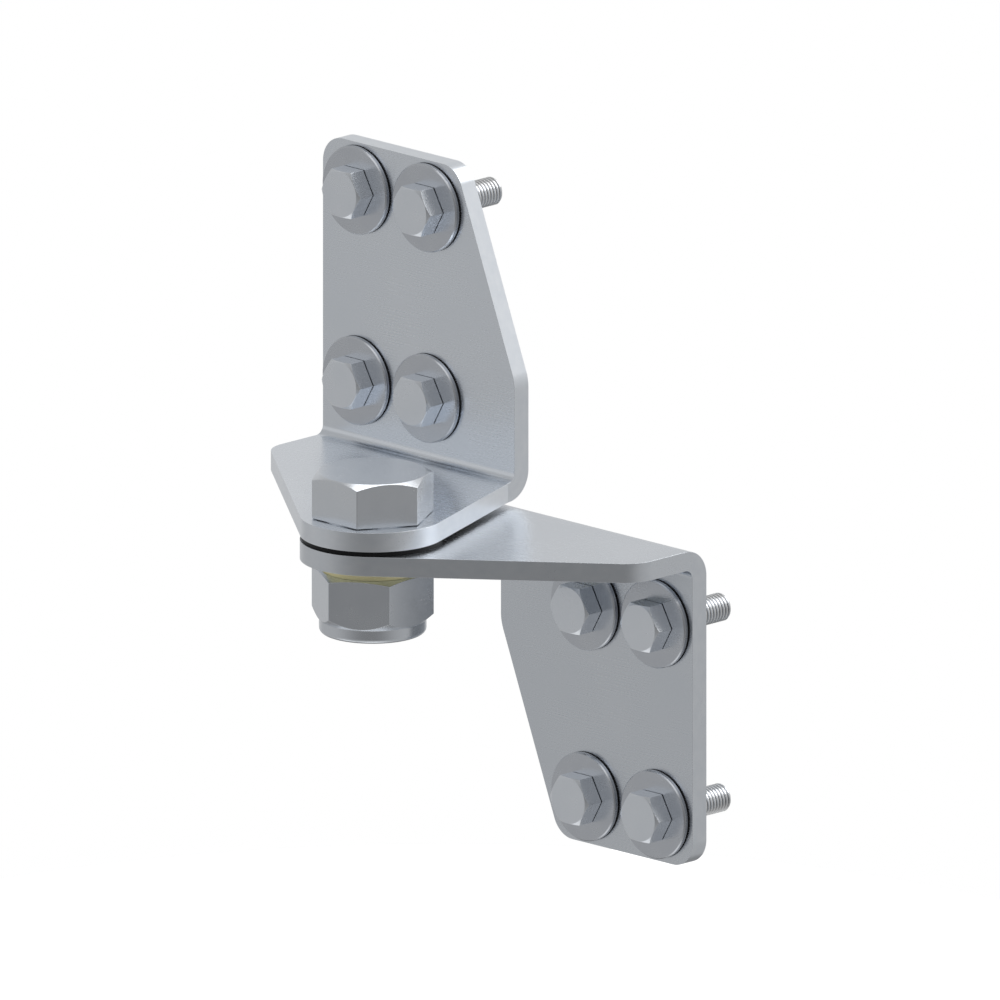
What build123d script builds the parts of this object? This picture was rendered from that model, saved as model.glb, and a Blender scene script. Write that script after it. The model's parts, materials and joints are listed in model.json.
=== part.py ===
from build123d import *
import os
from math import radians, tan

# Offset gate hinge: two folded brackets on one vertical pivot bolt. Millimetres, +Z up.
# The lower bracket is bolted to the post, the upper one to the gate leaf.
# The origin is the centre of the post bracket's four bolts, on the back of its plate.
# X runs along the plates, +Y goes into the post, and the hinge axis stands in front of them.

# Folded sheet, cut to the same outline for both brackets
sheet = 5.45
bend_inside_radius = 2.6
plate_width = 73.9
plate_shoulder_depth = 33.5
plate_corner_radius = 7.5
plate_shoulder_radius = 12.0
flange_side_depth = 26.4
flange_corner_radius = 10.0
flange_nose_radius = 20.0

# Place of the hinge axis, from the mounting face and from the plate's straight edge
axis_from_mounting_face = 58.0
axis_from_straight_edge = 71.25

# Rolled threads are this much thinner across their crests than the shank
thread_undersize = 0.1

# Four bolts through each plate, whose far end is cut to leave these margins round them
bolt_spacing_x = 27.0
bolt_spacing_z = 54.0
first_bolt_from_edge = 13.7
first_bolt_from_mating_face = 23.1
last_bolt_from_taper = 10.7
last_bolt_from_plate_end = 13.3
plate_bolt_diameter = 8.0
plate_bolt_length = 27.0
plate_bolt_plain_beyond_plate = 0.2
plate_bolt_across_flats = 13.0
plate_bolt_head_height = 5.6
plate_bolt_tip_chamfer = 0.5
plate_hole_clearance = 0.5

# Large flat washer and thin rubber sealing washer under each plate bolt
washer_diameter = 24.8
washer_thickness = 1.3
washer_hole_clearance = 0.2
washer_edge_chamfer = 0.7
seal_diameter = 24.8
seal_thickness = 0.45
seal_hole_clearance = 0.1

# Pivot bolt, with a loose hole in the gate leaf's bracket
pivot_diameter = 20.0
pivot_across_flats = 30.0
pivot_head_height = 12.4
pivot_tip_chamfer = 1.2
pivot_beyond_nut = 0.5
pivot_plain_short_of_nut = 0.5
leaf_hole_clearance = 0.25

# Shape of the hexagon heads and the nut, as shares of the width across flats:
# top circle, washer face under the head, and a turned outline that clears the corners
head_top_share = 0.985
head_chamfer_angle = 30.0
washer_face_share = 0.93
washer_face_height = 0.2
beyond_corner_share = 0.6

# Plastic thrust washer between the flanges
thrust_diameter = 38.8
thrust_thickness = 1.3
thrust_hole_clearance = 0.4

# Brass flanged bush pressed into the post bracket from below
bush_wall = 2.5
bush_running_clearance = 0.05
bush_flange_diameter = 28.0
bush_flange_thickness = 3.0
bush_below_mating_face = 0.3
bush_mouth_chamfer = 0.5

# Self-locking nut: hexagon, cone, and a round collar rolled over a nylon ring
nut_height = 17.8
nut_bearing_diameter = 28.4
nut_bearing_angle = 16.0
nut_shoulder_angle = 42.0
nut_collar_diameter = 29.5
nut_collar_height = 3.9
nut_rim_radius = 1.4
nut_thread_clearance = 0.05
nut_mouth_chamfer = 0.8
nut_lip_height = 0.7
nut_lip_overhang = 1.0
nylon_ring_wall = 2.5
nylon_ring_height = 3.0
nylon_ring_clearance = 0.05

# Sizes that follow from those above
bend_outside_radius = bend_inside_radius + sheet
plate_height = first_bolt_from_mating_face + bolt_spacing_z + last_bolt_from_plate_end
plate_end_width = first_bolt_from_edge + bolt_spacing_x + last_bolt_from_taper
plate_hole_radius = plate_bolt_diameter / 2 + plate_hole_clearance
plate_bolt_plain_length = seal_thickness + washer_thickness + sheet + plate_bolt_plain_beyond_plate
pattern_x = axis_from_straight_edge - first_bolt_from_edge - bolt_spacing_x / 2
pattern_z = -first_bolt_from_mating_face - bolt_spacing_z / 2
pivot_radius = pivot_diameter / 2
leaf_hole_radius = pivot_radius + leaf_hole_clearance
bush_bore_radius = pivot_radius + bush_running_clearance
bush_sleeve_radius = bush_bore_radius + bush_wall
post_mating_z = -pattern_z
leaf_mating_z = post_mating_z + thrust_thickness
pivot_seat_z = leaf_mating_z + sheet
bush_seat_z = post_mating_z - sheet
nut_seat_z = bush_seat_z - bush_flange_thickness
pivot_grip = pivot_seat_z - nut_seat_z
pivot_length = pivot_grip + nut_height + pivot_beyond_nut

# Each piece is drawn about its own seat, and these places seat it in the shared frame.
# The leaf bracket is the same fold turned upside down about Y.
hinge_x = -pattern_x
hinge_y = -axis_from_mounting_face
post_seat = Location((hinge_x, hinge_y, post_mating_z))
leaf_seat = Location((hinge_x, hinge_y, leaf_mating_z), (0, 180, 0))
pivot_seat = Location((hinge_x, hinge_y, pivot_seat_z))
bush_seat = Location((hinge_x, hinge_y, bush_seat_z))
nut_seat = Location((hinge_x, hinge_y, nut_seat_z))

# Middle of the bolt pattern on the front of a bracket's plate, with Z out towards the heads
plate_front = Plane(
    origin=(pattern_x, axis_from_mounting_face - sheet, pattern_z),
    x_dir=(1, 0, 0),
    z_dir=(0, -1, 0),
).location

os.makedirs("parts", exist_ok=True)


def save(piece, place, label):
    """Seat a finished piece, name it and write it as one STEP file."""
    with BuildPart() as seated:
        with Locations(place):
            add(piece)
    seated.part.label = label
    export_step(seated.part, f"parts/{label}.step")


def folded_bracket(pivot_hole_radius):
    """One bracket: hinge axis on Z, mating face at z = 0, plate hanging at the back."""
    straight_x = axis_from_straight_edge
    narrow_x = straight_x - plate_width
    taper_end_x = straight_x - plate_end_width
    back_y = axis_from_mounting_face
    bend_y = back_y - bend_outside_radius
    slant_y = back_y - flange_side_depth
    with BuildPart() as bracket:
        # L section of the sheet, bent to its true radii
        with BuildSketch(Plane.YZ.offset(-flange_nose_radius)) as section:
            with BuildLine():
                Polyline(
                    (-flange_nose_radius, 0),
                    (back_y, 0),
                    (back_y, -plate_height),
                    (back_y - sheet, -plate_height),
                    (back_y - sheet, -sheet),
                    (-flange_nose_radius, -sheet),
                    close=True,
                )
            make_face()
            outside = section.vertices().sort_by_distance((back_y, 0)).first
            fillet(outside, bend_outside_radius)
            inside = section.vertices().sort_by_distance((back_y - sheet, -sheet)).first
            fillet(inside, bend_inside_radius)
        extrude(amount=flange_nose_radius + straight_x)
        # Outline from above: round nose, two sides tangent to it, full width at the bend
        with BuildSketch() as flange_outline:
            Circle(flange_nose_radius)
            with BuildLine():
                Polyline((narrow_x, bend_y), (straight_x, bend_y), (straight_x, slant_y))
            make_hull()
            slant = flange_outline.vertices().sort_by_distance((straight_x, slant_y)).first
            fillet(slant, flange_corner_radius)
            with Locations((narrow_x, bend_y)):
                Rectangle(plate_width, bend_outside_radius, align=(Align.MIN, Align.MIN))
        extrude(amount=-plate_height, mode=Mode.INTERSECT)
        # Outline from the front: one straight side, one side that tapers below a shoulder
        with BuildSketch(Plane.XZ.offset(-back_y)) as plate_outline:
            with BuildLine():
                Polyline(
                    (-flange_nose_radius, 0),
                    (straight_x, 0),
                    (straight_x, -plate_height),
                    (taper_end_x, -plate_height),
                    (narrow_x, -plate_shoulder_depth),
                    (narrow_x, -bend_outside_radius),
                    (-flange_nose_radius, -bend_outside_radius),
                    close=True,
                )
            make_face()
            fillet(plate_outline.vertices().group_by(Axis.Y)[0], plate_corner_radius)
            shoulder = plate_outline.vertices().sort_by_distance((narrow_x, -plate_shoulder_depth)).first
            fillet(shoulder, plate_shoulder_radius)
        extrude(amount=back_y + flange_nose_radius, mode=Mode.INTERSECT)
        # Four bolt holes in the plate, one hole for the pivot in the flange
        with Locations(plate_front):
            with GridLocations(bolt_spacing_x, bolt_spacing_z, 2, 2):
                Hole(plate_hole_radius, depth=sheet)
        Hole(pivot_hole_radius, depth=sheet)
    return bracket.part


def hexagon_bolt(diameter, length, plain_length, across_flats, head_height, tip_chamfer):
    """Hexagon bolt on Z: seat at z = 0, head above it, plain shank and then thread below."""
    flat_radius = across_flats / 2
    top_radius = flat_radius * head_top_share
    beyond_corners = across_flats * beyond_corner_share
    cone_drop = (beyond_corners - top_radius) * tan(radians(head_chamfer_angle))
    with BuildPart() as bolt:
        with BuildSketch():
            RegularPolygon(flat_radius, 6, major_radius=False)
        extrude(amount=head_height)
        # Turned outline: washer face below the hexagon, chamfer cone round its top
        with BuildSketch(Plane.XZ):
            with BuildLine():
                Polyline(
                    (0, 0),
                    (flat_radius * washer_face_share, 0),
                    (flat_radius * washer_face_share, washer_face_height),
                    (beyond_corners, washer_face_height),
                    (beyond_corners, head_height - cone_drop),
                    (top_radius, head_height),
                    (0, head_height),
                    close=True,
                )
            make_face()
        revolve(mode=Mode.INTERSECT)
        below = (Align.CENTER, Align.CENTER, Align.MAX)
        Cylinder(diameter / 2, plain_length, align=below)
        with Locations((0, 0, -plain_length)):
            Cylinder((diameter - thread_undersize) / 2, length - plain_length, align=below)
        chamfer(bolt.edges().sort_by(Axis.Z).first, tip_chamfer)
    return bolt.part


# The two brackets differ only in their pivot hole: pressed bush below, loose bolt above
save(folded_bracket(bush_sleeve_radius), post_seat, "lower_bracket")
save(folded_bracket(leaf_hole_radius), leaf_seat, "upper_bracket")

# Pivot bolt, dropped through both flanges from above
pivot_bolt = hexagon_bolt(
    pivot_diameter,
    pivot_length,
    pivot_grip - pivot_plain_short_of_nut,
    pivot_across_flats,
    pivot_head_height,
    pivot_tip_chamfer,
)
save(pivot_bolt, pivot_seat, "pivot_bolt")

# Thrust washer that carries the leaf on the post bracket's flange
with BuildPart() as thrust_washer:
    with BuildSketch():
        Circle(thrust_diameter / 2)
        Circle(pivot_radius + thrust_hole_clearance, mode=Mode.SUBTRACT)
    extrude(amount=thrust_thickness)
save(thrust_washer.part, post_seat, "thrust_washer")

# Flanged bush: sleeve up into the flange, collar under it for the nut to run on
with BuildPart() as flange_bush:
    with BuildSketch(Plane.XZ) as bush_section:
        with BuildLine():
            Polyline(
                (bush_bore_radius, -bush_flange_thickness),
                (bush_flange_diameter / 2, -bush_flange_thickness),
                (bush_flange_diameter / 2, 0),
                (bush_sleeve_radius, 0),
                (bush_sleeve_radius, sheet - bush_below_mating_face),
                (bush_bore_radius, sheet - bush_below_mating_face),
                close=True,
            )
        make_face()
        chamfer(bush_section.vertices().group_by(Axis.X)[0], bush_mouth_chamfer)
    revolve()
save(flange_bush.part, bush_seat, "flange_bush")

# Lock nut, hanging from its bearing face: chamfered hexagon, cone, round collar, rolled lip
with BuildPart() as lock_nut:
    with BuildSketch():
        RegularPolygon(pivot_across_flats / 2, 6, major_radius=False, rotation=30)
    extrude(amount=-nut_height)
    beyond_corners = pivot_across_flats * beyond_corner_share
    bearing_radius = nut_bearing_diameter / 2
    bearing_drop = (beyond_corners - bearing_radius) * tan(radians(nut_bearing_angle))
    collar_radius = nut_collar_diameter / 2
    collar_z = nut_collar_height - nut_height
    shoulder_rise = (beyond_corners - collar_radius) * tan(radians(nut_shoulder_angle))
    thread_radius = (pivot_diameter - thread_undersize) / 2 + nut_thread_clearance
    ring_seat_radius = pivot_radius + nylon_ring_wall
    ring_bottom_z = nut_lip_height - nut_height
    ring_top_z = ring_bottom_z + nylon_ring_height
    with BuildSketch(Plane.XZ) as nut_section:
        with BuildLine():
            Polyline(
                (thread_radius, 0),
                (bearing_radius, 0),
                (beyond_corners, -bearing_drop),
                (beyond_corners, collar_z + shoulder_rise),
                (collar_radius, collar_z),
                (collar_radius, -nut_height),
                (ring_seat_radius - nut_lip_overhang, -nut_height),
                (ring_seat_radius - nut_lip_overhang, ring_bottom_z),
                (ring_seat_radius, ring_bottom_z),
                (ring_seat_radius, ring_top_z),
                (thread_radius, ring_top_z),
                close=True,
            )
        make_face()
        rim = nut_section.vertices().sort_by_distance((collar_radius, -nut_height)).first
        fillet(rim, nut_rim_radius)
        mouth = nut_section.vertices().sort_by_distance((thread_radius, 0)).first
        chamfer(mouth, nut_mouth_chamfer)
    revolve(mode=Mode.INTERSECT)
save(lock_nut.part, nut_seat, "lock_nut")

# Nylon ring, held in the collar by the rolled lip
with BuildPart() as nylon_ring:
    with BuildSketch(Plane.XY.offset(ring_bottom_z)):
        Circle(ring_seat_radius - nylon_ring_clearance)
        Circle(thread_radius, mode=Mode.SUBTRACT)
    extrude(amount=nylon_ring_height)
save(nylon_ring.part, nut_seat, "nylon_ring")

# Fasteners of the plates: rubber seal against the sheet, flat washer on it, then the bolt
with BuildPart() as plate_seal:
    with BuildSketch():
        Circle(seal_diameter / 2)
        Circle(plate_bolt_diameter / 2 + seal_hole_clearance, mode=Mode.SUBTRACT)
    extrude(amount=seal_thickness)

with BuildPart() as plate_washer:
    with BuildSketch(Plane.XY.offset(seal_thickness)):
        Circle(washer_diameter / 2)
        Circle(plate_bolt_diameter / 2 + washer_hole_clearance, mode=Mode.SUBTRACT)
    extrude(amount=washer_thickness)
    outer_rim = plate_washer.edges().group_by(Axis.Z)[-1].sort_by(SortBy.RADIUS).last
    chamfer(outer_rim, washer_edge_chamfer)

plate_bolt = hexagon_bolt(
    plate_bolt_diameter,
    plate_bolt_length,
    plate_bolt_plain_length,
    plate_bolt_across_flats,
    plate_bolt_head_height,
    plate_bolt_tip_chamfer,
)
bolt_seat = Location((0, 0, seal_thickness + washer_thickness))

for side, bracket_seat in (("lower", post_seat), ("upper", leaf_seat)):
    for number, hole in enumerate(GridLocations(bolt_spacing_x, bolt_spacing_z, 2, 2), start=1):
        hole_seat = bracket_seat * plate_front * hole
        save(plate_seal.part, hole_seat, f"{side}_seal_{number}")
        save(plate_washer.part, hole_seat, f"{side}_washer_{number}")
        save(plate_bolt, hole_seat * bolt_seat, f"{side}_bolt_{number}")
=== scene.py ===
import json
from math import acos, atan2, cos, pi, radians, sin, sqrt, tan

import bmesh
import bpy
from mathutils import Matrix, Vector

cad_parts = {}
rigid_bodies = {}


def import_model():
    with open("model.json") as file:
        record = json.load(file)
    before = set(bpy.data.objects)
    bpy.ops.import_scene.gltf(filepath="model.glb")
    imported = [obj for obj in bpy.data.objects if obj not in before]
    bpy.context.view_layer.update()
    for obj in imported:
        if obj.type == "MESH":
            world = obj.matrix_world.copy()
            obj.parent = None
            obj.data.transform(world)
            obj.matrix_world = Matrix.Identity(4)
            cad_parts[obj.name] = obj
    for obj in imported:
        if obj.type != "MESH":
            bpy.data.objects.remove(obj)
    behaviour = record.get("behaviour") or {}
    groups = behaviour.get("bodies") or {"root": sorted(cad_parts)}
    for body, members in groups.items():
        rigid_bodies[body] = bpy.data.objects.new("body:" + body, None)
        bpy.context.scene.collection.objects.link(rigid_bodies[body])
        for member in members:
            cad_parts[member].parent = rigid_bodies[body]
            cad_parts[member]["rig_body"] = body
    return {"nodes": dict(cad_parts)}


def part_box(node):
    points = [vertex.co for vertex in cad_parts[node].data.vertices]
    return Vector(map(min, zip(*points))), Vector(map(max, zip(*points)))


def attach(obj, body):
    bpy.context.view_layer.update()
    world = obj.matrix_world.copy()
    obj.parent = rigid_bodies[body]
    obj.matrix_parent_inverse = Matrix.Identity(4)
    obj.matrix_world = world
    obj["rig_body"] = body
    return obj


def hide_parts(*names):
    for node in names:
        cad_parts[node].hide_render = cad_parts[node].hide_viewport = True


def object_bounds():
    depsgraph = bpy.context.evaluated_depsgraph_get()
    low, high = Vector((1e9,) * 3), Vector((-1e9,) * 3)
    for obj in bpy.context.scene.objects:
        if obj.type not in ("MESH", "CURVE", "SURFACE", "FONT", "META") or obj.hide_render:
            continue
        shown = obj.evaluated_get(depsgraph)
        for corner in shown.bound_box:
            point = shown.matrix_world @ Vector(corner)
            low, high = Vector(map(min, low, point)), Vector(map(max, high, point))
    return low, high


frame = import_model()
cad_low, cad_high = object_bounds()

# The two folded brackets, of zinc-plated steel plate. Both blanks are cut by laser to one outline,
# tumbled, which breaks every edge a little, and bent once. The post's plate hangs down from its
# flange, and the leaf's bracket is the same one turned upside down.
mm = 0.001
sheet = 5.45 * mm
bend_outside = 2.6 * mm + sheet
edge_ease = 0.06 * mm
back_y = 58.0 * mm
straight_x = 71.25 * mm
narrow_x = straight_x - 73.9 * mm
taper_x = straight_x - 51.4 * mm
plate_drop = 90.4 * mm
shoulder_drop = 33.5 * mm
slant_y = back_y - 26.4 * mm
nose_radius = 20.0 * mm
slant_corner = 10.0 * mm
plate_corner = 7.5 * mm
shoulder_corner = 12.0 * mm
bend_notch_ease = 0.5 * mm
plate_hole_radius = 4.5 * mm
bolt_gap_x = 27.0 * mm
bolt_gap_z = 54.0 * mm
first_bolt_x = straight_x - 13.7 * mm
first_bolt_drop = 23.1 * mm
bush_sleeve_radius = 12.55 * mm
leaf_hole_radius = 10.25 * mm
right_foot_steps = 14
left_foot_steps = 16
shoulder_steps = 8
slant_steps = 10
nose_steps = 48
bolt_hole_steps = 48
pivot_hole_steps = 96
ease_steps = 3
ease_angles = [radians(a) for a in (0, 30, 60, 90)]
weld_gap = 0.0005 * mm

# Painted shade: the post's bracket and the pivot's parts are painted a little darker than the leaf's
# bracket and the plate bolts, a shaded copy of the same zinc
painted_shade_share = 0.9
unshaded_share = 1.0

# Painted shade: the two faces that slide on each other, in the gap between the flanges, are painted
# darker round the pivot, over a wider reach on the leaf's
post_gap_shade_reach = 20.0 * mm
leaf_gap_shade_reach = 66.0 * mm
gap_shade_cover = 0.92
gap_shade_black = (0.03, 0.03, 0.03)

# Each pair of greys is that of the darker and of the lighter patches
face_greys = (0.815, 0.858, 0.915), (0.850, 0.888, 0.940)
cut_greys = (0.800, 0.840, 0.892), (0.855, 0.890, 0.935)
worn_grey = (0.91, 0.93, 0.95)

# Along the blank, v runs from the hinge axis out to the bend, round it and down the plate
bend_start = back_y - bend_outside
bend_run = bend_outside * pi / 2
bend_end = bend_start + bend_run
plate_top = bend_end - bend_outside
bend_parts = 16

# The pivot bolt's box gives the hinge axis, and each bracket hangs from its own mating face
pivot_low, pivot_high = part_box("pivot_bolt")
hinge_x = (pivot_low.x + pivot_high.x) / 2
hinge_y = (pivot_low.y + pivot_high.y) / 2
post_mating_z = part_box("lower_bracket")[1].z
leaf_mating_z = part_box("upper_bracket")[0].z
post_place = Matrix.Translation((hinge_x, hinge_y, post_mating_z))
leaf_place = Matrix.Translation((hinge_x, hinge_y, leaf_mating_z)) @ Matrix.Rotation(pi, 4, "Y")


def rounded(before, corner, after, radius, steps):
    """Arc that rounds one corner of an outline run anticlockwise, as (point, outward) pairs."""
    back = (before - corner).normalized()
    onward = (after - corner).normalized()
    half = acos(max(-1, min(1, back.dot(onward)))) / 2
    centre = corner + (back + onward).normalized() * radius / sin(half)
    start = corner + back * radius / tan(half) - centre
    side = 1 if onward.cross(back) > 0 else -1
    arc = []
    for k in range(steps + 1):
        spoke = start.copy()
        spoke.rotate(Matrix.Rotation(side * (pi - 2 * half) * k / steps, 2))
        arc.append((centre + spoke, spoke.normalized() * side))
    return arc


def touching(point, radius, side):
    """Angle on a circle round the hinge axis where a line from the point touches it."""
    return atan2(point.y, point.x) + side * acos(radius / point.length)


def blank_outline():
    """The cut outline, anticlockwise, and the numbers of its points at both ends of the left bend."""
    bend_steps = [bend_start + bend_run * k / bend_parts for k in range(bend_parts + 1)]
    foot_right = Vector((straight_x, plate_top + plate_drop))
    foot_left = Vector((taper_x, plate_top + plate_drop))
    shoulder = Vector((narrow_x, plate_top + shoulder_drop))
    notch = Vector((narrow_x, bend_start))
    slant = Vector((straight_x, slant_y))
    outline = [(Vector((straight_x, v)), Vector((1, 0))) for v in bend_steps]
    outline += rounded(outline[-1][0], foot_right, foot_left, plate_corner, right_foot_steps)
    outline += rounded(foot_right, foot_left, shoulder, plate_corner, left_foot_steps)
    outline += rounded(foot_left, shoulder, notch, shoulder_corner, shoulder_steps)
    left_end = len(outline)
    outline += [(Vector((narrow_x, v)), Vector((-1, 0))) for v in reversed(bend_steps[1:])]
    left_start = len(outline)
    left_angle = touching(notch, nose_radius, 1)
    right_angle = touching(slant, nose_radius, -1)
    left_touch = Vector((cos(left_angle), sin(left_angle))) * nose_radius
    right_touch = Vector((cos(right_angle), sin(right_angle))) * nose_radius
    outline += rounded(shoulder, notch, left_touch, bend_notch_ease, ease_steps)
    nose_sweep = right_angle + 2 * pi - left_angle
    for k in range(nose_steps + 1):
        angle = left_angle + nose_sweep * k / nose_steps
        spoke = Vector((cos(angle), sin(angle)))
        outline.append((spoke * nose_radius, spoke))
    bend_right = Vector((straight_x, bend_start))
    outline += rounded(right_touch, slant, bend_right, slant_corner, slant_steps)
    return outline, left_end, left_start


def round_hole(x, v, radius, steps):
    """A hole's outline, with its outward direction into the empty hole."""
    pairs = []
    for k in range(steps):
        spoke = Vector((cos(2 * pi * k / steps), -sin(2 * pi * k / steps)))
        pairs.append((Vector((x, v)) + spoke * radius, -spoke))
    return pairs


def on_bent_sheet(x, v, depth):
    """Place of a point of the blank after bending, and the sheet's run and face directions there."""
    turn = max(0, min(1, (v - bend_start) / bend_run)) * pi / 2
    face = Vector((0, sin(turn), cos(turn)))
    run = Vector((0, cos(turn), -sin(turn)))
    past = min(0, v - bend_start) + max(0, v - bend_end)
    point = Vector((x, bend_start, -bend_outside)) + face * (bend_outside - depth) + run * past
    return point, run, face


def new_shape():
    """An empty mesh, whose points hold their outward direction, where they were made, and marks."""
    shape = bmesh.new()
    shape.verts.layers.float_vector.new("outward")
    shape.verts.layers.float_vector.new("made_at")
    for layer in ("cut", "cut_run", "worn"):
        shape.verts.layers.float.new(layer)
    return shape


def add_point(shape, place, point, outward, made_at=None, cut=0, cut_run=0, worn=0):
    """One point of a piece, drawn in the piece's own frame and seated in the hinge's."""
    new = shape.verts.new(place @ point)
    layers = shape.verts.layers
    new[layers.float_vector["outward"]] = place.to_3x3() @ outward
    new[layers.float_vector["made_at"]] = point if made_at is None else made_at
    new[layers.float["cut"]] = cut
    new[layers.float["cut_run"]] = cut_run
    new[layers.float["worn"]] = worn
    return new


def join_rows(shape, rows, closed_rows=True, closed_ends=False):
    """Four-sided faces between neighbouring rows of points."""
    pairs = list(zip(rows, rows[1:]))
    if closed_ends:
        pairs.append((rows[-1], rows[0]))
    for low, high in pairs:
        count = len(low)
        for i in range(count if closed_rows else count - 1):
            k = (i + 1) % count
            shape.faces.new((low[i], low[k], high[k], high[i]))


def cut_edge(shape, place, pairs):
    """The sheet's edge along one cut, eased on both faces: its rows from the outer face to the inner.
    The rows on the edge itself are marked as cut, and those half round an ease as worn most."""
    rows = []
    for side, angles in ((1, ease_angles), (-1, reversed(ease_angles))):
        for a in angles:
            into = edge_ease * (1 - cos(a))
            depth = into if side > 0 else sheet - into
            row = []
            cut_run = 0
            last = pairs[0][0]
            for point, outward in pairs:
                cut_run += (point - last).length
                last = point
                inner = point - outward * edge_ease * (1 - sin(a))
                seat, run, face = on_bent_sheet(inner.x, inner.y, depth)
                across = Vector((outward.x, 0, 0)) + run * outward.y
                row.append(add_point(
                    shape, place, seat, across * sin(a) + face * side * cos(a),
                    Vector((inner.x, inner.y, depth)), float(a == ease_angles[-1]), cut_run, sin(2 * a),
                ))
            rows.append(row)
    join_rows(shape, rows)
    return rows


def fill_flat(shape, loops):
    """Closes a flat face inside its outline, the first loop, and round its holes, the other loops."""
    edges = []
    for loop in loops:
        for one, other in zip(loop, loop[1:] + loop[:1]):
            edges.append(shape.edges.get((one, other)) or shape.edges.new((one, other)))
    bmesh.ops.triangle_fill(shape, use_beauty=True, edges=edges)


def finished(shape, name, node, finish):
    """Turns a drawn shape into the shown piece that stands for a CAD node and moves with its body."""
    bmesh.ops.remove_doubles(shape, verts=shape.verts, dist=weld_gap)
    bmesh.ops.recalc_face_normals(shape, faces=shape.faces)
    shape.normal_update()
    layer = shape.verts.layers.float_vector["outward"]
    for f in shape.faces:
        if sum((v[layer] for v in f.verts), Vector()).dot(f.normal) < 0:
            f.normal_flip()
    shape.normal_update()
    outward = []
    for v in shape.verts:
        outward.append(v[layer].normalized() if v[layer].length > 0.5 else v.normal.copy())
    for f in shape.faces:
        f.smooth = True
    mesh = bpy.data.meshes.new(name)
    shape.to_mesh(mesh)
    shape.free()
    mesh.attributes.remove(mesh.attributes["outward"])
    mesh.normals_split_custom_set_from_vertices(outward)
    mesh.materials.append(finish)
    piece = bpy.data.objects.new(name, mesh)
    bpy.context.scene.collection.objects.link(piece)
    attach(piece, frame["nodes"][node]["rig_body"])
    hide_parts(node)


def bent_bracket(name, node, place, pivot_hole_radius, finish):
    """One bracket: cut edges, the bend between them, and both faces of the flange and the plate."""
    shape = new_shape()
    outline, left_end, left_start = blank_outline()
    rim = cut_edge(shape, place, outline)
    pivot_hole = cut_edge(shape, place, round_hole(0, 0, pivot_hole_radius, pivot_hole_steps))
    bolt_holes = []
    for x in (first_bolt_x, first_bolt_x - bolt_gap_x):
        for drop in (first_bolt_drop, first_bolt_drop + bolt_gap_z):
            hole = round_hole(x, plate_top + drop, plate_hole_radius, bolt_hole_steps)
            bolt_holes.append(cut_edge(shape, place, hole))
    # The first row of an edge bounds the outer face, and its last row the inner one
    for side in (0, -1):
        row = rim[side]
        left = [row[left_start]] + [row[left_end + bend_parts - k] for k in range(1, bend_parts + 1)]
        join_rows(shape, [row[:bend_parts + 1], left], closed_rows=False)
        fill_flat(shape, [row[left_start:] + row[:1], pivot_hole[side]])
        fill_flat(shape, [row[bend_parts:left_end + 1]] + [hole[side] for hole in bolt_holes])
    finished(shape, name, node, finish)


def put(tree, kind, inputs=(), **settings):
    """Adds one shader node, sets it, and wires or fills its inputs."""
    node = tree.nodes.new(kind)
    for key, value in settings.items():
        setattr(node, key, value)
    for socket, value in dict(inputs).items():
        if isinstance(value, bpy.types.NodeSocket):
            tree.links.new(value, node.inputs[socket])
        else:
            node.inputs[socket].default_value = value
    return node


def new_finish(name):
    """A material with an empty node tree, and the place in which its piece was made."""
    finish = bpy.data.materials.new(name)
    finish.use_nodes = True
    tree = finish.node_tree
    tree.nodes.clear()
    made_at = put(tree, "ShaderNodeAttribute", attribute_name="made_at")
    return finish, tree, made_at.outputs["Vector"]


def close_finish(tree, relief, strength, depth, inputs):
    """Ends a material: its shader, with the given inputs, and the relief of its skin."""
    bump = put(tree, "ShaderNodeBump", {"Strength": strength, "Distance": depth, "Height": relief})
    shader = put(tree, "ShaderNodeBsdfPrincipled", {**inputs, "Normal": bump.outputs[0]})
    put(tree, "ShaderNodeOutputMaterial", {"Surface": shader.outputs[0]})


def mark(tree, name):
    """A mark that the piece's points carry, such as how worn each is."""
    return put(tree, "ShaderNodeAttribute", attribute_name=name).outputs["Fac"]


def grain(tree, place, stretch, detail):
    """Fine noise, with about the given number of marks in a metre each way."""
    scaled = put(tree, "ShaderNodeMapping", {"Vector": place, "Scale": stretch})
    made = put(tree, "ShaderNodeTexNoise", {"Vector": scaled.outputs[0], "Scale": 1.0, "Detail": detail})
    return made.outputs[0]


def spread(tree, value, low, high, start=0.3, end=0.7):
    """Maps a noise value to a range."""
    made = put(tree, "ShaderNodeMapRange", {
        "Value": value, "From Min": start, "From Max": end, "To Min": low, "To Max": high,
    })
    return made.outputs[0]


def work_out(tree, operation, one, other=0.0):
    """One sum on two values."""
    made = put(tree, "ShaderNodeMath", {0: one, 1: other}, operation=operation)
    return made.outputs[0]


def tint(tree, share, one, other):
    """A colour between two, by a share. Each is three numbers or comes out of another shader node."""
    one, other = ((*colour, 1) if isinstance(colour, tuple) else colour for colour in (one, other))
    made = put(tree, "ShaderNodeMix", {0: share, 6: one, 7: other}, data_type="RGBA")
    return made.outputs[2]


def shaded(tree, colour, share):
    """A colour made darker by a share of its light."""
    made = put(tree, "ShaderNodeVectorMath", {0: colour, "Scale": share}, operation="SCALE")
    return made.outputs[0]


def from_axis(tree, made_at):
    """Distance from the Z axis of a piece's own frame, and height along it."""
    parts = put(tree, "ShaderNodeSeparateXYZ", {0: made_at}).outputs
    squares = [work_out(tree, "MULTIPLY", parts[k], parts[k]) for k in (0, 1)]
    return work_out(tree, "SQRT", work_out(tree, "ADD", squares[0], squares[1])), parts[2]


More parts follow.
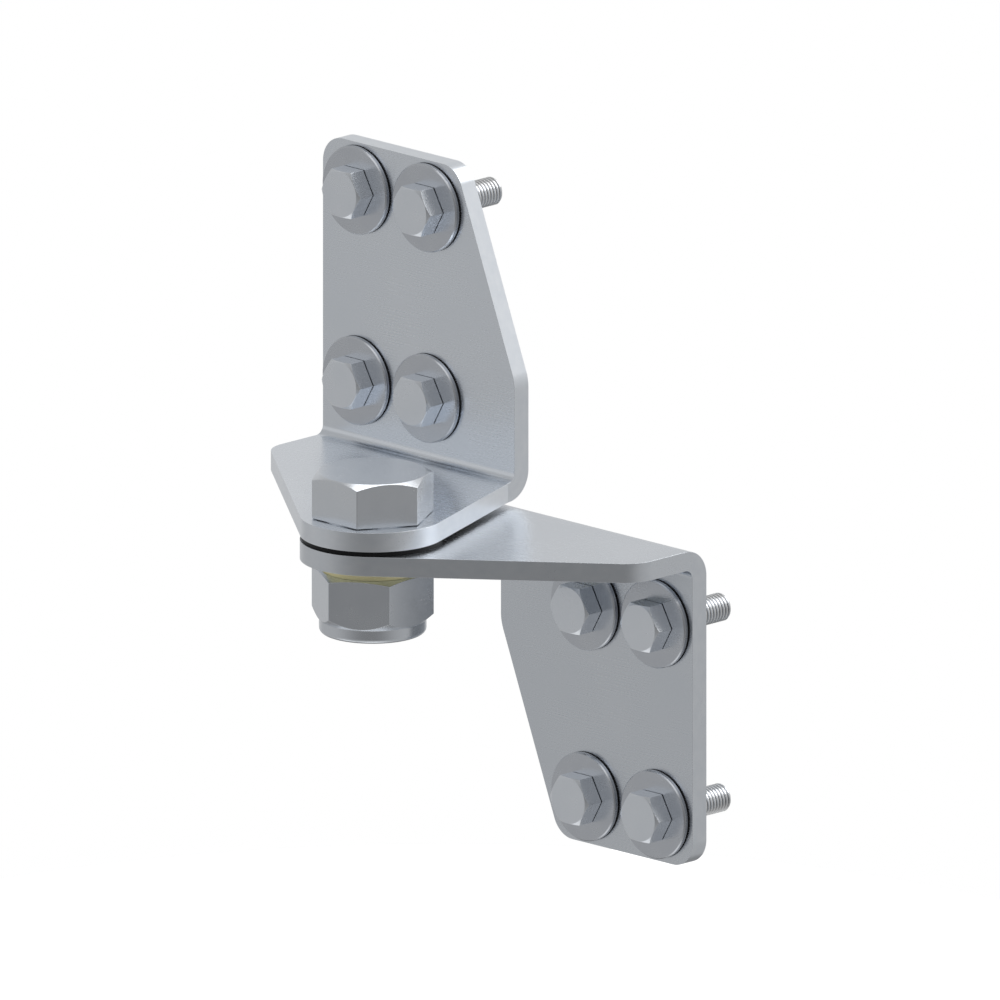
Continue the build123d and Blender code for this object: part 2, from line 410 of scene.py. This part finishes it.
def zinc_sheet(name, shade_share, gap_shade_reach):
    """Satin zinc on rolled plate: faint clouds, fine rolled grain, and bright corners. The laser has
    left lines across the cut edges. Painted shade darkens the outer face round the axis, in the gap where
    the flanges meet, fading away from it, and a shade share below 1 paints the whole finish darker."""
    finish, tree, made_at = new_finish(name)
    cut = mark(tree, "cut")
    radius, depth = from_axis(tree, made_at)
    along_cut = put(tree, "ShaderNodeCombineXYZ", {"X": mark(tree, "cut_run"), "Z": depth}).outputs[0]
    clouds = grain(tree, made_at, (38, 38, 38), 4.0)
    rolled = grain(tree, made_at, (90, 3200, 3200), 3.0)
    pores = grain(tree, made_at, (2600, 2600, 2600), 2.0)
    lines = grain(tree, along_cut, (2300, 1, 110), 2.0)
    drag = grain(tree, along_cut, (260, 1, 420), 3.0)
    face_grey = tint(tree, spread(tree, clouds, 0, 1), *face_greys)
    cut_grey = tint(tree, spread(tree, drag, 0, 1), *cut_greys)
    wear = work_out(tree, "MULTIPLY", mark(tree, "worn"), spread(tree, drag, 0.0, 0.35))
    grey = tint(tree, wear, tint(tree, cut, face_grey, cut_grey), worn_grey)
    dull = work_out(tree, "ADD", spread(tree, clouds, 0.25, 0.29), spread(tree, rolled, -0.015, 0.015))
    dull = work_out(tree, "ADD", dull, work_out(tree, "MULTIPLY", cut, 0.03))
    face_relief = work_out(tree, "ADD", spread(tree, rolled, 0, 0.5), spread(tree, pores, 0, 0.35))
    cut_relief = work_out(tree, "ADD", spread(tree, lines, 0, 0.9), spread(tree, drag, 0, 0.5))
    relief = put(tree, "ShaderNodeMix", {0: cut, 2: face_relief, 3: cut_relief}, data_type="FLOAT")
    # Painted shade in the gap between the flanges: the mating face is painted dark near the pivot, fading
    # outwards
    gap_shade = spread(tree, radius, gap_shade_cover, 0, gap_shade_reach / 2, gap_shade_reach)
    gap_shade = work_out(tree, "MULTIPLY", gap_shade, work_out(tree, "LESS_THAN", depth, edge_ease))
    # Painted shade: the shade share paints the whole sheet darker for the post's bracket
    gap_shaded_grey = tint(tree, gap_shade, shaded(tree, grey, shade_share), gap_shade_black)
    close_finish(tree, relief.outputs[0], 0.07, 0.004 * mm, {
        "Base Color": gap_shaded_grey, "Metallic": 1.0, "Roughness": dull,
    })
    return finish


bent_bracket("lower_bracket_bent", "lower_bracket", post_place, bush_sleeve_radius,
             zinc_sheet("zinc_sheet_post", painted_shade_share, post_gap_shade_reach))
bent_bracket("upper_bracket_bent", "upper_bracket", leaf_place, leaf_hole_radius,
             zinc_sheet("zinc_sheet_leaf", unshaded_share, leaf_gap_shade_reach))

# The flanged bush that the pivot turns in. It is turned from brass and pressed into the post's
# flange from below, so only its collar is seen, between that flange and the lock nut.
up = Vector((0, 0, 1))
ring_steps = 96
bush_bore_radius = 10.05 * mm
bush_collar_radius = 14.0 * mm
bush_collar_drop = 3.0 * mm
bush_mouth = 0.5 * mm
bush_ease = 0.12 * mm
brass_colours = (0.93, 0.87, 0.52), (0.98, 0.92, 0.58)
bush_low, bush_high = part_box("flange_bush")
bush_seat_z = bush_low.z + bush_collar_drop
bush_place = Matrix.Translation((hinge_x, hinge_y, bush_seat_z))


def turned_ring(shape, place, corners, ease):
    """A ring turned to the given section, run anticlockwise, with every corner eased."""
    section = []
    for k, corner in enumerate(corners):
        section += rounded(corners[k - 1], corner, corners[(k + 1) % len(corners)], ease, ease_steps)
    turns = [2 * pi * k / ring_steps for k in range(ring_steps)]
    rows = []
    for point, outward in section:
        row = []
        for turn in turns:
            around = Vector((cos(turn), sin(turn), 0))
            row.append(add_point(
                shape, place, around * point.x + up * point.y, around * outward.x + up * outward.y,
                worn=abs(2 * outward.x * outward.y),
            ))
        rows.append(row)
    join_rows(shape, rows, closed_ends=True)


def ring_piece(name, node, place, corners, ease, finish):
    """One plain ring, such as a washer, as a shown piece."""
    shape = new_shape()
    turned_ring(shape, place, [Vector(c) for c in corners], ease)
    finished(shape, name, node, finish)


def tool_marks(tree, made_at, per_metre):
    """Fine rings left by the turning tool: noise that changes only with radius and height."""
    radius, height = from_axis(tree, made_at)
    place = put(tree, "ShaderNodeCombineXYZ", {"X": radius, "Z": height}).outputs[0]
    return grain(tree, place, (per_metre, 1, per_metre), 3.0)


def turned_brass():
    """Brass from the bar, gone a little dull, with fine tool rings."""
    finish, tree, made_at = new_finish("turned_brass")
    rings = tool_marks(tree, made_at, 5200)
    stain = grain(tree, made_at, (210, 210, 210), 4.0)
    brass = tint(tree, spread(tree, stain, 0, 1), *brass_colours)
    close_finish(tree, rings, 0.4, 0.008 * mm, {
        "Base Color": brass, "Metallic": 1.0, "Roughness": spread(tree, stain, 0.48, 0.60),
    })
    return finish


bush_section = [
    (bush_bore_radius + bush_mouth, -bush_collar_drop),
    (bush_collar_radius, -bush_collar_drop),
    (bush_collar_radius, 0),
    (bush_sleeve_radius, 0),
    (bush_sleeve_radius, bush_high.z - bush_seat_z),
    (bush_bore_radius + bush_mouth, bush_high.z - bush_seat_z),
    (bush_bore_radius, bush_high.z - bush_seat_z - bush_mouth),
    (bush_bore_radius, bush_mouth - bush_collar_drop),
]
ring_piece("flange_bush_turned", "flange_bush", bush_place, bush_section, bush_ease,
           turned_brass())

# The thrust washer, turned from black acetal rod. The leaf's flange slides on it, and its edge is
# the black line between the two flanges.
thrust_radius = 19.4 * mm
thrust_bore_radius = 10.4 * mm
thrust_ease = 0.15 * mm
thrust_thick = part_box("thrust_washer")[1].z - post_mating_z
acetal_blacks = (0.004, 0.004, 0.005), (0.010, 0.010, 0.011)


def black_acetal():
    """Black plastic with the sheen and faint rings of a turned face."""
    finish, tree, made_at = new_finish("black_acetal")
    rings = tool_marks(tree, made_at, 4200)
    dust = grain(tree, made_at, (700, 700, 700), 5.0)
    black = tint(tree, spread(tree, dust, 0, 1, 0.45, 0.75), *acetal_blacks)
    close_finish(tree, rings, 0.3, 0.01 * mm, {
        "Base Color": black, "Roughness": spread(tree, dust, 0.38, 0.5), "Specular IOR Level": 0.25,
    })
    return finish


thrust_section = [
    (thrust_bore_radius, 0),
    (thrust_radius, 0),
    (thrust_radius, thrust_thick),
    (thrust_bore_radius, thrust_thick),
]
ring_piece("thrust_washer_turned", "thrust_washer", post_place, thrust_section, thrust_ease,
           black_acetal())

# The pivot bolt, an M20 hexagon bolt dropped through both flanges from above. It is forged steel,
# zinc-plated, turned plain where it runs in the bush, with a rolled thread below for the lock nut.
pivot_seat_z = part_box("upper_bracket")[0].z + sheet
pivot_sizes = {
    "radius": 10.0 * mm,
    "washer_face_radius": 14.8 * mm,
    "thread_radius": 9.95 * mm,
    "pitch": 2.5 * mm,
    "across_flats": 30.0 * mm,
    "head_height": pivot_high.z - pivot_seat_z,
    "plain_length": 14.7 * mm,
    "length": pivot_seat_z - pivot_low.z,
    "tip": 1.2 * mm,
    "ease": 0.1 * mm,
    "corner_ease": 0.35 * mm,
}
pivot_place = Matrix.Translation((hinge_x, hinge_y, pivot_seat_z))
head_top_share = 0.985
head_cone = radians(30)
washer_face_height = 0.2 * mm
washer_face_ease = 0.08 * mm
washer_face_rise = 0.02 * mm
cone_ease_share = 0.4
flat_steps = 12
bolt_greys = (0.815, 0.855, 0.910), (0.850, 0.886, 0.936)
bolt_worn_grey = (0.88, 0.90, 0.92)
# Painted shade: the thread's roots are painted dark and its crests light
thread_shade_greys = (0.22, 0.22, 0.23), (0.86, 0.87, 0.88)
root_lit = 0.5
thread_depth_share = 0.58
thread_section = [
    # share of the pitch, rise from root to crest, and how far the surface faces up or down
    (0.0, 0.0, 0.0), (0.1, 0.0, 0.0), (0.14, 0.06, 0.8), (0.38, 0.94, 0.8),
    (0.42, 1.0, 0.0), (0.62, 1.0, 0.0), (0.66, 0.94, -0.8), (0.92, 0.06, -0.8),
]


def hexagon(across_flats, corner_ease, turn):
    """A hexagon's outline with eased corners and points along its flats, as (point, outward) pairs."""
    reach = across_flats / sqrt(3)
    corners = [Vector((cos(turn + pi / 3 * k), sin(turn + pi / 3 * k))) * reach for k in range(6)]
    pairs = []
    for k, corner in enumerate(corners):
        after = corners[(k + 1) % 6]
        pairs += rounded(corners[k - 1], corner, after, corner_ease, ease_steps)
        start, outward = pairs[-1]
        flat = (after - corner).normalized()
        end = start + flat * 2 * (corner + (after - corner) / 2 - start).dot(flat)
        pairs += [(start.lerp(end, j / flat_steps), outward) for j in range(1, flat_steps)]
    return pairs


def head_column(sizes, reach, around, flat):
    """Down one column of a bolt's head and plain shank: radius, height and outward direction."""
    ease = sizes["ease"]
    blend = ease * cone_ease_share
    height = sizes["head_height"]
    top = sizes["across_flats"] / 2 * head_top_share
    seat = sizes["washer_face_radius"]
    cone = around * sin(head_cone) + up * cos(head_cone)
    return [
        (top - ease, height, up),
        (top + blend, height - blend * tan(head_cone), cone),
        (reach - blend, height - (reach - blend - top) * tan(head_cone), cone),
        (reach, height - (reach - top) * tan(head_cone) - ease, flat),
        (reach, washer_face_height + ease, flat),
        (reach - ease, washer_face_height, -up),
        (seat + ease, washer_face_height, -up),
        (seat, washer_face_height - washer_face_ease, around),
        (seat, washer_face_rise, around),
        (seat - ease, 0, -up),
        (sizes["radius"] + ease, 0, -up),
        (sizes["radius"], -ease, around),
        (sizes["radius"], ease - sizes["plain_length"], around),
    ]


def thread_column(sizes, angle, around):
    """Down one column of a right-hand rolled thread and its tip: radius, height, outward direction and
    how lit the thread is painted, from 1 on the crests to a half in the roots, where painted shade stands
    for the shade in the grooves."""
    start = -sizes["plain_length"]
    end = -sizes["length"]
    pitch = sizes["pitch"]
    crest = sizes["thread_radius"]
    tip = crest - sizes["tip"]
    column = []
    for k in range(int((start - end) / pitch) + 3):
        for offset, rise, tilt in thread_section:
            z = start + pitch * (angle / (2 * pi) - k - offset)
            run_in = min(1, max(0, (start - z) / pitch))
            radius = crest - pitch * thread_depth_share * (1 - rise) * run_in
            outward = around * sqrt(1 - (tilt * run_in) ** 2) + up * tilt * run_in
            if radius > tip + max(0, z - end):
                radius = tip + max(0, z - end)
                outward = (around - up).normalized()
            thread_lit = 1 - root_lit * (1 - rise) * run_in
            column.append((radius, max(end, min(start, z)), outward, thread_lit))
    column.append((tip - sizes["ease"], end, -up, 1))
    return column


def join_columns(shape, columns, lead):
    """Faces between neighbouring columns. Past the last one, a thread has dropped by one pitch."""
    for k, column in enumerate(columns):
        beside = columns[(k + 1) % len(columns)]
        drop = lead if k + 1 == len(columns) else 0
        for j in range(drop, len(column) - 1):
            shape.faces.new((column[j], column[j + 1], beside[j + 1 - drop], beside[j - drop]))
        if drop:
            shape.faces.new((column[drop - 1], column[drop], beside[0]))
            tail = beside[len(beside) - 1 - drop:]
            shape.faces.new([column[-1]] + tail[::-1])


def hexagon_bolt(name, node, place, sizes, finish):
    """A hexagon bolt in one piece: head, plain shank and thread."""
    shape = new_shape()
    outline = []
    for point, flat in hexagon(sizes["across_flats"], sizes["corner_ease"], 0):
        outline.append((atan2(point.y, point.x) % (2 * pi), point.length, flat.to_3d()))
    heads = []
    threads = []
    for angle, reach, flat in sorted(outline, key=lambda each: each[0]):
        around = Vector((cos(angle), sin(angle), 0))
        heads.append([add_point(shape, place, around * r + up * z, out, worn=float(j in (2, 3)))
                      for j, (r, z, out) in enumerate(head_column(sizes, reach, around, flat))])
        threads.append([add_point(shape, place, around * r + up * z, out, cut=thread_lit)
                        for r, z, out, thread_lit in thread_column(sizes, angle, around)])
    join_columns(shape, heads, 0)
    join_columns(shape, threads, len(thread_section))
    join_rows(shape, [[column[-1] for column in heads], [column[0] for column in threads]])
    shape.faces.new([column[0] for column in heads])
    shape.faces.new([column[-1] for column in threads])
    finished(shape, name, node, finish)


def zinc_fastener(name, shade_share):
    """Bright zinc on forged steel: forging dimples, tool rings, worn corners, and painted shade in the
    thread's roots; a shade share below 1 paints the whole finish darker. The mark called cut is here how
    lit the thread is painted, and it is 0 off the thread."""
    finish, tree, made_at = new_finish(name)
    thread_lit = mark(tree, "cut")
    where = put(tree, "ShaderNodeTexCoord").outputs["Object"]
    clouds = grain(tree, where, (120, 120, 120), 3.0)
    dimples = grain(tree, where, (1400, 1400, 1400), 2.0)
    rings = tool_marks(tree, made_at, 3600)
    smooth_grey = tint(tree, spread(tree, clouds, 0, 1), *bolt_greys)
    # Painted shade in the thread's roots, lighter on the crests
    thread_shaded_grey = tint(tree, spread(tree, thread_lit, 0, 1, root_lit, 1.0), *thread_shade_greys)
    grey = tint(tree, spread(tree, thread_lit, 0, 1, 0.0, root_lit), smooth_grey, thread_shaded_grey)
    wear = work_out(tree, "MULTIPLY", mark(tree, "worn"), spread(tree, dimples, 0.1, 0.5))
    # Painted shade: the shade share paints the whole finish darker for the pivot bolt and nut
    plated_and_shaded = shaded(tree, tint(tree, wear, grey, bolt_worn_grey), shade_share)
    dull = work_out(tree, "ADD", spread(tree, clouds, 0.22, 0.27), spread(tree, dimples, -0.02, 0.02))
    relief = work_out(tree, "ADD", spread(tree, dimples, 0, 0.3), spread(tree, rings, 0, 0.4))
    close_finish(tree, relief, 0.04, 0.003 * mm, {
        "Base Color": plated_and_shaded, "Metallic": 1.0, "Roughness": dull,
    })
    return finish


pivot_finish = zinc_fastener("zinc_pivot", painted_shade_share)
hexagon_bolt("pivot_bolt_forged", "pivot_bolt", pivot_place, pivot_sizes, pivot_finish)

# The self-locking nut under the post's flange, forged from steel and zinc-plated: a hexagon with its
# upper corners turned off, a cone below, and a thin round collar rolled in over a nylon ring.
nut_height = 17.8 * mm
nut_bearing_radius = 14.2 * mm
nut_bearing_cone = radians(16)
nut_shoulder_cone = radians(42)
nut_collar_radius = 14.75 * mm
nut_collar_height = 3.9 * mm
nut_rim = 1.4 * mm
nut_rim_steps = 6
nut_mouth = 0.8 * mm
nut_thread_radius = 10.0 * mm
nut_lip_height = 0.7 * mm
nut_lip_radius = 11.5 * mm
ring_seat_radius = 12.5 * mm
ring_height = 3.0 * mm
nut_place = Matrix.Translation((hinge_x, hinge_y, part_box("lock_nut")[1].z))


def nut_column(reach, around, flat):
    """Round one column of the nut, from its mouth and back to it: radius, height, outward direction."""
    ease = pivot_sizes["ease"]
    blend = cone_ease_share * ease
    bearing = around * sin(nut_bearing_cone) + up * cos(nut_bearing_cone)
    shoulder = around * sin(nut_shoulder_cone) - up * cos(nut_shoulder_cone)
    collar_z = nut_collar_height - nut_height
    ring_bottom = nut_lip_height - nut_height
    outer = reach - blend
    column = [
        (nut_thread_radius, -nut_mouth, -around),
        (nut_thread_radius + nut_mouth, 0, up),
        (nut_bearing_radius - ease, 0, up),
        (nut_bearing_radius + ease, -ease * tan(nut_bearing_cone), bearing),
        (outer, -(outer - nut_bearing_radius) * tan(nut_bearing_cone), bearing),
        (reach, -(reach - nut_bearing_radius) * tan(nut_bearing_cone) - ease, flat),
        (reach, collar_z + (reach - nut_collar_radius) * tan(nut_shoulder_cone) + ease, flat),
        (outer, collar_z + (outer - nut_collar_radius) * tan(nut_shoulder_cone), shoulder),
        (nut_collar_radius + blend, collar_z + blend * tan(nut_shoulder_cone), shoulder),
        (nut_collar_radius, collar_z - ease, around),
    ]
    for k in range(nut_rim_steps + 1):
        turn = pi / 2 * k / nut_rim_steps
        rim = around * cos(turn) - up * sin(turn)
        column.append((nut_collar_radius - nut_rim * (1 - cos(turn)),
                       nut_rim * (1 - sin(turn)) - nut_height, rim))
    column += [
        (nut_lip_radius + ease, -nut_height, -up),
        (nut_lip_radius, ease - nut_height, -around),
        (nut_lip_radius, ring_bottom, -around),
        (ring_seat_radius, ring_bottom, up),
        (ring_seat_radius, ring_bottom + ring_height, -around),
        (nut_thread_radius, ring_bottom + ring_height, -up),
    ]
    return column


def forged_nut(name, node, place, finish):
    """The lock nut, its hexagon turned so that one corner points to the post."""
    shape = new_shape()
    columns = []
    for point, flat in hexagon(pivot_sizes["across_flats"], pivot_sizes["corner_ease"], pi / 6):
        around = Vector((point.x, point.y, 0)).normalized()
        column = nut_column(point.length, around, flat.to_3d())
        columns.append([add_point(shape, place, around * r + up * z, out, worn=float(j in (4, 7)))
                        for j, (r, z, out) in enumerate(column)])
    join_rows(shape, columns, closed_ends=True)
    finished(shape, name, node, finish)


forged_nut("lock_nut_forged", "lock_nut", nut_place, pivot_finish)

# The nylon ring that grips the pivot's thread. It is moulded, and the rolled collar of the nut holds
# it, so that only its underside shows, from below.
ring_clearance = 0.05 * mm
ring_ease = 0.2 * mm
nylon_whites = (0.70, 0.69, 0.64), (0.80, 0.79, 0.75)
ring_place = Matrix.Translation((hinge_x, hinge_y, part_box("nylon_ring")[0].z))


def white_nylon():
    """Natural nylon: milky, a little uneven, with a soft moulded skin."""
    finish, tree, made_at = new_finish("white_nylon")
    milky = grain(tree, made_at, (320, 320, 320), 3.0)
    skin = grain(tree, made_at, (2800, 2800, 2800), 2.0)
    white = tint(tree, spread(tree, milky, 0, 1), *nylon_whites)
    close_finish(tree, skin, 0.3, 0.01 * mm, {
        "Base Color": white, "Roughness": spread(tree, milky, 0.38, 0.5), "Subsurface Weight": 0.15,
        "Subsurface Radius": (1.0 * mm, 1.0 * mm, 0.8 * mm),
    })
    return finish


ring_section = [
    (nut_thread_radius, 0),
    (ring_seat_radius - ring_clearance, 0),
    (ring_seat_radius - ring_clearance, ring_height),
    (nut_thread_radius, ring_height),
]
ring_piece("nylon_ring_moulded", "nylon_ring", ring_place, ring_section, ring_ease, white_nylon())

# The sealing washers, thin discs punched from black rubber sheet, as large as the steel washers on
# them. Each one keeps water out of a bolt hole, and its edge shows as a black line.
seal_radius = 12.4 * mm
seal_bore_radius = 4.1 * mm
seal_ease = 0.12 * mm
rubber_blacks = (0.003, 0.003, 0.004), (0.009, 0.009, 0.010)
turned_to_front = Matrix.Rotation(pi / 2, 4, "X")


def plate_place(node):
    """A plate fastener's seat, on its bolt's axis and at its own back, with Z to the front, and its
    thickness."""
    low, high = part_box(node)
    seat = Matrix.Translation(((low.x + high.x) / 2, high.y, (low.z + high.z) / 2))
    return seat @ turned_to_front, high.y - low.y


def black_rubber():
    """Matt black rubber with a fine skin and a little dust."""
    finish, tree, made_at = new_finish("black_rubber")
    skin = grain(tree, made_at, (3000, 3000, 3000), 2.0)
    dust = grain(tree, made_at, (500, 500, 500), 4.0)
    black = tint(tree, spread(tree, dust, 0, 1, 0.5, 0.8), *rubber_blacks)
    close_finish(tree, skin, 0.4, 0.01 * mm, {
        "Base Color": black, "Roughness": spread(tree, dust, 0.6, 0.8), "Specular IOR Level": 0.25,
    })
    return finish


rubber_finish = black_rubber()

# Each name has a gap, for seal, washer or bolt
fastener_names = [f"{side}_{{}}_{number}" for side in ("lower", "upper") for number in range(1, 5)]
for fastener in fastener_names:
    seal_place, seal_thick = plate_place(fastener.format("seal"))
    seal_section = [
        (seal_bore_radius, 0),
        (seal_radius, 0),
        (seal_radius, seal_thick),
        (seal_bore_radius, seal_thick),
    ]
    ring_piece(fastener.format("seal") + "_punched", fastener.format("seal"), seal_place, seal_section,
               seal_ease, rubber_finish)

# The large flat washers under the plate bolts. They are stamped from steel strip, which draws the
# front edge down to a bevel, and zinc-plated in a barrel, which leaves them duller than the bolts.
washer_radius = 12.4 * mm
washer_bore_radius = 4.2 * mm
washer_bevel = 0.35 * mm
washer_ease = 0.1 * mm
washer_greys = (0.610, 0.638, 0.684), (0.650, 0.676, 0.720)
sheared_grey = (0.50, 0.52, 0.56)
washer_worn_grey = (0.74, 0.76, 0.79)


def zinc_washer():
    """Barrel-plated zinc: duller grey, darker on the sheared rim, with knocks from other washers."""
    finish, tree, made_at = new_finish("zinc_washer")
    where = put(tree, "ShaderNodeTexCoord").outputs["Object"]
    clouds = grain(tree, where, (150, 150, 150), 3.0)
    knocks = grain(tree, where, (900, 900, 900), 3.0)
    rolled = grain(tree, made_at, (120, 3400, 3400), 2.0)
    face_grey = tint(tree, spread(tree, clouds, 0, 1), *washer_greys)
    radius = from_axis(tree, made_at)[0]
    sheared = work_out(tree, "GREATER_THAN", radius, washer_radius - washer_ease / 2)
    wear = work_out(tree, "MULTIPLY", mark(tree, "worn"), spread(tree, knocks, 0.0, 0.3))
    grey = tint(tree, wear, tint(tree, sheared, face_grey, sheared_grey), washer_worn_grey)
    dull = work_out(tree, "ADD", spread(tree, clouds, 0.22, 0.28), spread(tree, rolled, -0.02, 0.02))
    relief = work_out(tree, "ADD", spread(tree, knocks, 0, 0.5), spread(tree, rolled, 0, 0.15))
    close_finish(tree, relief, 0.15, 0.004 * mm, {
        "Base Color": grey, "Metallic": 1.0, "Roughness": dull,
    })
    return finish


washer_finish = zinc_washer()
for fastener in fastener_names:
    washer_place, washer_thick = plate_place(fastener.format("washer"))
    washer_section = [
        (washer_bore_radius, 0),
        (washer_radius, 0),
        (washer_radius, washer_thick - washer_bevel),
        (washer_radius - washer_bevel, washer_thick),
        (washer_bore_radius, washer_thick),
    ]
    ring_piece(fastener.format("washer") + "_stamped", fastener.format("washer"), washer_place,
               washer_section, washer_ease, washer_finish)

# The eight M8 plate bolts. Their forged heads pull the washers down on the plates, and their rolled
# threads stand out behind, for the nuts or tapped holes of the post and the leaf.
plate_bolt_sizes = {
    "radius": 4.0 * mm,
    "washer_face_radius": 6.05 * mm,
    "thread_radius": 3.95 * mm,
    "pitch": 1.15 * mm,
    "across_flats": 13.0 * mm,
    "head_height": 5.6 * mm,
    "plain_length": 7.4 * mm,
    "length": 27.0 * mm,
    "tip": 0.5 * mm,
    "ease": 0.04 * mm,
    "corner_ease": 0.15 * mm,
}
plate_bolt_finish = zinc_fastener("zinc_plate_bolt", unshaded_share)
for fastener in fastener_names:
    bolt_low, bolt_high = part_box(fastener.format("bolt"))
    bolt_place = Matrix.Translation((
        (bolt_low.x + bolt_high.x) / 2,
        bolt_low.y + plate_bolt_sizes["head_height"],
        (bolt_low.z + bolt_high.z) / 2,
    )) @ turned_to_front
    hexagon_bolt(fastener.format("bolt") + "_forged", fastener.format("bolt"), bolt_place,
                 plate_bolt_sizes, plate_bolt_finish)

# The studio round the hinge, which is no part of it: a pale round floor well below, and a soft light
# room that is white to the camera. To the hinge the room is dim in front and pale behind, with some
# broad soft glows, one darker patch low down, and one soft lamp overhead.
pure_white = (1, 1, 1, 1)
floor_gap = 60 * mm
floor_radius = 220 * mm
floor_colour = (0.66, 0.66, 0.66, 1)
floor_glow = 0.7
floor_steps = 96
room_pale = 0.44
room_dim = 0.205
dim_reach = 0.87
lamp_size = 0.5
lamp_distance = 1.0
lamp_brightness = 1.8

# All angles are in degrees. A side is an azimuth and an elevation, as seen from the hinge
dim_side = (38, 15)
lamp_side = (-135, 76)
glows = [
    # its side, its brightness, and how far from its middle it ends and is at its full brightness
    ((45, -75), 0.45, 26, 12),
    ((-42, -56), 0.4, 20, 7),
    ((-135, -55), -0.2, 34, 20),
    ((-44, 14), 0.16, 22, 8),
    ((12, 52), 0.62, 28, 9),
    ((85, 40), 0.25, 55, 15),
    ((150, 48), 3.0, 28, 10),
    ((162, 14), 0.3, 40, 14),
    ((-138, 5), 0.2, 50, 12),
]
middle = (cad_low + cad_high) / 2


def pointing(side):
    """Direction from the hinge to a side. Azimuth 0 is in front of the plates, and 90 to their right."""
    azimuth, elevation = map(radians, side)
    return Vector((
        sin(azimuth) * cos(elevation),
        -cos(azimuth) * cos(elevation),
        sin(elevation),
    ))


def towards(tree, direction, side, far, near, ease):
    """How bright the room is for a direction, between a level far from one side and one near to it.
    Each is given as the cosine of an angle from that side, and the level there."""
    facing = put(tree, "ShaderNodeVectorMath", {0: direction, 1: pointing(side)},
                 operation="DOT_PRODUCT")
    level = put(tree, "ShaderNodeMapRange", {
        "Value": facing.outputs["Value"], "From Min": far[0], "From Max": near[0],
        "To Min": far[1], "To Max": near[1],
    }, interpolation_type=ease)
    return level.outputs[0]


def light_room():
    """The world: white where a camera looks, and shaded softly for all else."""
    world = bpy.data.worlds.new("light_room")
    bpy.context.scene.world = world
    world.use_nodes = True
    tree = world.node_tree
    tree.nodes.clear()
    direction = put(tree, "ShaderNodeTexCoord").outputs["Generated"]
    dimmed = towards(tree, direction, dim_side, (0.0, 0.0), (dim_reach, 1.0), "LINEAR")
    dimmed = work_out(tree, "POWER", dimmed, 2.0)
    level = spread(tree, dimmed, room_pale, room_dim, 0, 1)
    for side, strength, reach, core in glows:
        glow = towards(tree, direction, side, (cos(radians(reach)), 0.0),
                       (cos(radians(core)), strength), "SMOOTHSTEP")
        level = work_out(tree, "ADD", level, glow)
    soft = put(tree, "ShaderNodeBackground", {"Color": pure_white, "Strength": level})
    plain = put(tree, "ShaderNodeBackground", {"Color": pure_white, "Strength": 1.0})
    seen = put(tree, "ShaderNodeLightPath").outputs["Is Camera Ray"]
    mixed = put(tree, "ShaderNodeMixShader", {0: seen, 1: soft.outputs[0], 2: plain.outputs[0]})
    put(tree, "ShaderNodeOutputWorld", {"Surface": mixed.outputs[0]})


def pale_floor():
    """A round pale floor. It glows a little to the camera, so that it meets the white room unseen. The
    metal sees the soft room in its place, and so does the camera from below."""
    shape = bmesh.new()
    bmesh.ops.create_circle(shape, cap_ends=True, segments=floor_steps, radius=floor_radius)
    mesh = bpy.data.meshes.new("pale_floor")
    shape.to_mesh(mesh)
    shape.free()
    finish = bpy.data.materials.new("pale_floor")
    finish.use_nodes = True
    tree = finish.node_tree
    tree.nodes.clear()
    matt = put(tree, "ShaderNodeBsdfDiffuse", {"Color": floor_colour})
    glow = put(tree, "ShaderNodeEmission", {"Color": pure_white, "Strength": floor_glow})
    both = put(tree, "ShaderNodeAddShader", {0: matt.outputs[0], 1: glow.outputs[0]})
    clear = put(tree, "ShaderNodeBsdfTransparent")
    path = put(tree, "ShaderNodeLightPath").outputs
    seen = put(tree, "ShaderNodeMixShader", {
        0: path["Is Camera Ray"], 1: matt.outputs[0], 2: both.outputs[0],
    })
    below = put(tree, "ShaderNodeNewGeometry").outputs["Backfacing"]
    gone = work_out(tree, "MAXIMUM", path["Is Glossy Ray"], below)
    mixed = put(tree, "ShaderNodeMixShader", {0: gone, 1: seen.outputs[0], 2: clear.outputs[0]})
    put(tree, "ShaderNodeOutputMaterial", {"Surface": mixed.outputs[0]})
    mesh.materials.append(finish)
    floor = bpy.data.objects.new("pale_floor", mesh)
    floor.location = (middle.x, middle.y, cad_low.z - floor_gap)
    bpy.context.scene.collection.objects.link(floor)


def overhead_lamp():
    """A soft square lamp, high over the hinge, at whose middle it looks."""
    lamp = bpy.data.lights.new("overhead_lamp", "AREA")
    lamp.shape = "SQUARE"
    lamp.size = lamp_size
    lamp.energy = lamp_brightness * pi * lamp_size * lamp_size
    back = pointing(lamp_side)
    holder = bpy.data.objects.new("overhead_lamp", lamp)
    holder.location = middle + back * lamp_distance
    holder.rotation_euler = back.to_track_quat("Z", "Y").to_euler()
    bpy.context.scene.collection.objects.link(holder)


light_room()
pale_floor()
overhead_lamp()

# The camera, which sees without perspective, as in the photograph. The picture is 1000 pixels
# square, and the hinge axis, at the height of the post's flange, lies at the pixel named here.
picture = 1000
pixels_per_metre = 3650
hinge_pixel_x = 372.75
hinge_pixel_y = 538.6
camera_side = (44.71, 14.8)
camera_distance = 1.5
toward_camera = pointing(camera_side)
picture_right = Vector((cos(radians(camera_side[0])), sin(radians(camera_side[0])), 0))
picture_up = toward_camera.cross(picture_right)
aim = Vector((hinge_x, hinge_y, post_mating_z))
aim += picture_right * (picture / 2 - hinge_pixel_x) / pixels_per_metre
aim += picture_up * (hinge_pixel_y - picture / 2) / pixels_per_metre
lens = bpy.data.cameras.new("camera")
lens.type = "ORTHO"
lens.ortho_scale = picture / pixels_per_metre
camera = bpy.data.objects.new("camera", lens)
camera.matrix_world = Matrix.LocRotScale(
    aim + toward_camera * camera_distance,
    Matrix((picture_right, picture_up, toward_camera)).transposed().to_quaternion(),
    None,
)
bpy.context.scene.collection.objects.link(camera)
bpy.context.scene.camera = camera
bpy.context.scene.view_settings.view_transform = "Standard"
